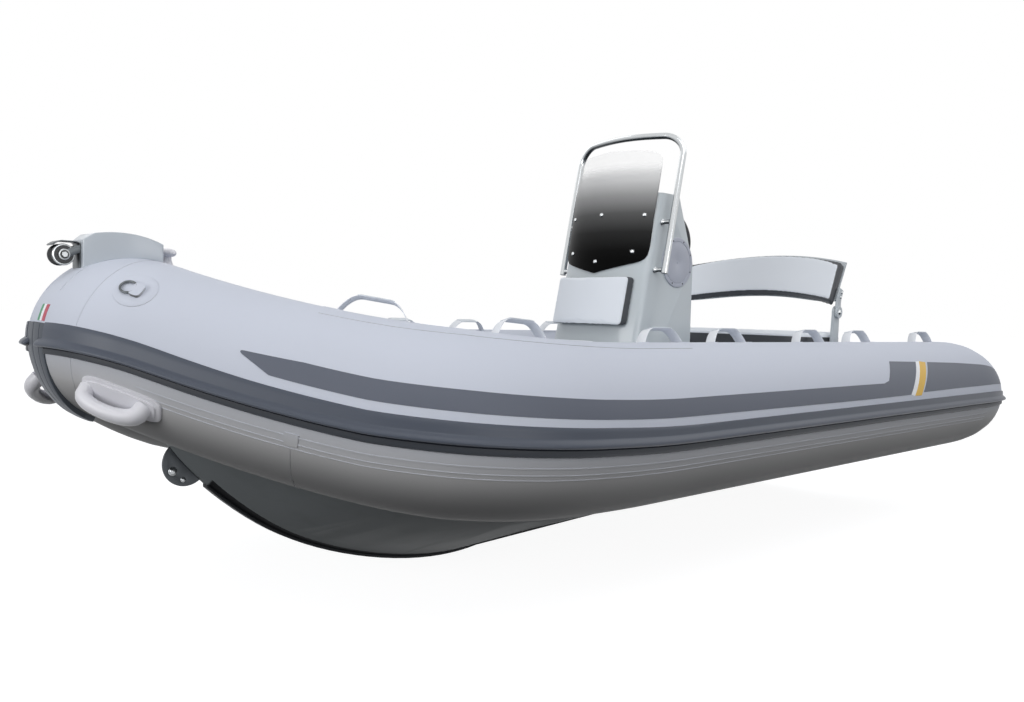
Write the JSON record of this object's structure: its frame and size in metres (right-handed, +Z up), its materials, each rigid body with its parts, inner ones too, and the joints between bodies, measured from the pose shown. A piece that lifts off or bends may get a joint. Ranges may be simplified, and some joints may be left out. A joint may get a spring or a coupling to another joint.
{
  "type": "rigid inflatable boat",
  "caption": "Rigid inflatable boat: V hull in an inflated collar, steering console with windscreen and rail, front seat, aft bench with folding backrest, bow step with anchor roller.",
  "frame": {"origin": "amidships on the centreline, on the waterline", "axes": "+X to the bow, +Y to port, +Z up"},
  "size_m": [4.3133, 2.0794, 1.6605],
  "materials": {
    "collar_fabric": "satin coated fabric",
    "strake_rubber": "satin",
    "keel_rubber": "satin",
    "gelcoat": "gloss gelcoat",
    "stainless": "polished",
    "webbing": "woven",
    "upholstery": "soft vinyl",
    "acrylic": "smoked",
    "black_plastic": "matte",
    "grey_plastic": "matte"
  },
  "bodies": {
    "boat": {"hull": "gelcoat", "keel_guard": "keel_rubber", "stem_tow_plate": "stainless", "deck_sole": "gelcoat", "transom": "gelcoat", "collar_port": "collar_fabric", "collar_starboard": "collar_fabric", "collar_nose": "collar_fabric", "stern_cone_port": "collar_fabric", "stern_cone_starboard": "collar_fabric", "rubbing_strake_port": "strake_rubber", "rubbing_strake_starboard": "strake_rubber", "bow_strip": "strake_rubber", "grab_loops_port": "webbing", "grab_loops_starboard": "webbing", "carry_handles": "grey_plastic", "d_rings": "stainless", "nose_step": "gelcoat", "bow_cleat": "grey_plastic", "roller_bracket": "stainless", "bow_locker": "gelcoat", "console_shell": "gelcoat", "inspection_covers": "grey_plastic", "windscreen": "acrylic", "grab_rail": "stainless", "rail_posts": "stainless", "switch_panel": "black_plastic", "front_cushion": "upholstery", "helm_bezel": "black_plastic", "front_seat_box": "gelcoat", "bench_box": "gelcoat", "bench_cushion": "upholstery", "backrest_arms": "grey_plastic"},
    "steering_wheel": {"steering_wheel": "black_plastic"},
    "bow_roller": {"bow_roller": "black_plastic"},
    "bow_locker_lid": {"bow_locker_lid": "gelcoat"},
    "console_door": {"console_door": "gelcoat"},
    "front_seat_lid": {"front_seat_lid": "gelcoat", "front_seat_cushion": "upholstery"},
    "bench_door": {"bench_door": "gelcoat"},
    "backrest": {"backrest_shell": "grey_plastic", "backrest_cushion": "upholstery"}
  },
  "joints": [
    {"name": "steering", "type": "hinge", "parent": "boat", "child": "steering_wheel", "pos_m": [-0.38345, 0, 0.975], "axis": [-0.9265, 0, 0.3762], "range_deg": [-540, 540]},
    {"name": "roller_spin", "type": "hinge", "parent": "boat", "child": "bow_roller", "pos_m": [2.05995, 0, 0.76804], "axis": [0, 1, 0], "continuous": true},
    {"name": "locker_lid", "type": "hinge", "parent": "boat", "child": "bow_locker_lid", "pos_m": [1.062, 0, 0.412], "axis": [0, 1, 0], "range_deg": [-100, 0]},
    {"name": "console_door", "type": "hinge", "parent": "boat", "child": "console_door", "pos_m": [-0.428, -0.14, 0.42], "axis": [0, 0, 1], "range_deg": [0, 100]},
    {"name": "front_seat_lid", "type": "hinge", "parent": "boat", "child": "front_seat_lid", "pos_m": [0.075, 0, 0.482], "axis": [0, 1, 0], "range_deg": [-60, 0]},
    {"name": "bench_door", "type": "hinge", "parent": "boat", "child": "bench_door", "pos_m": [-1.122, 0, 0.21], "axis": [0, 1, 0], "range_deg": [0, 90]},
    {"name": "backrest_fold", "type": "hinge", "parent": "boat", "child": "backrest", "pos_m": [-1.285, 0, 0.7], "axis": [0, 1, 0], "range_deg": [0, 80]}
  ]
}
